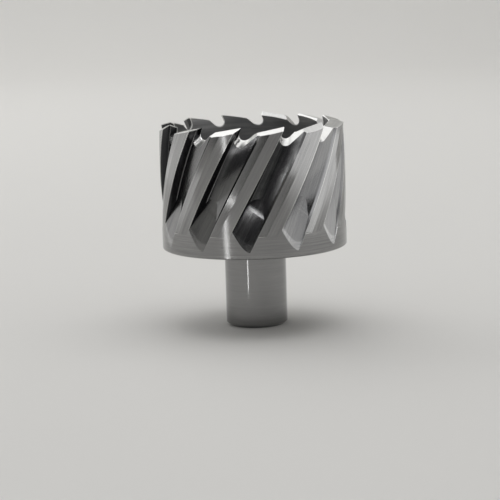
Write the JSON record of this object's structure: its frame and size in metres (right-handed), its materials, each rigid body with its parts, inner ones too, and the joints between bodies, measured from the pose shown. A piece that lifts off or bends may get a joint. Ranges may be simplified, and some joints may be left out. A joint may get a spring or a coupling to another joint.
{
  "type": "annular cutter",
  "caption": "Hollow core drill with steep right-hand flutes, gullets between ground teeth, a plain band at the shoulder and a round shank with holding flats.",
  "frame": {"origin": "centre of the shank's end face", "axes": "+Z along the tool's axis from the shank towards the teeth; -Y is the side seen in the picture, and the two shank flats face the other side"},
  "size_m": [0.0572, 0.0572, 0.0638],
  "materials": {
    "tool_steel": "ground high speed steel, bright grinding marks in the flutes and on the teeth, turned and polished shank"
  },
  "bodies": {
    "root": {"cutter_body": "tool_steel"}
  },
  "joints": []
}
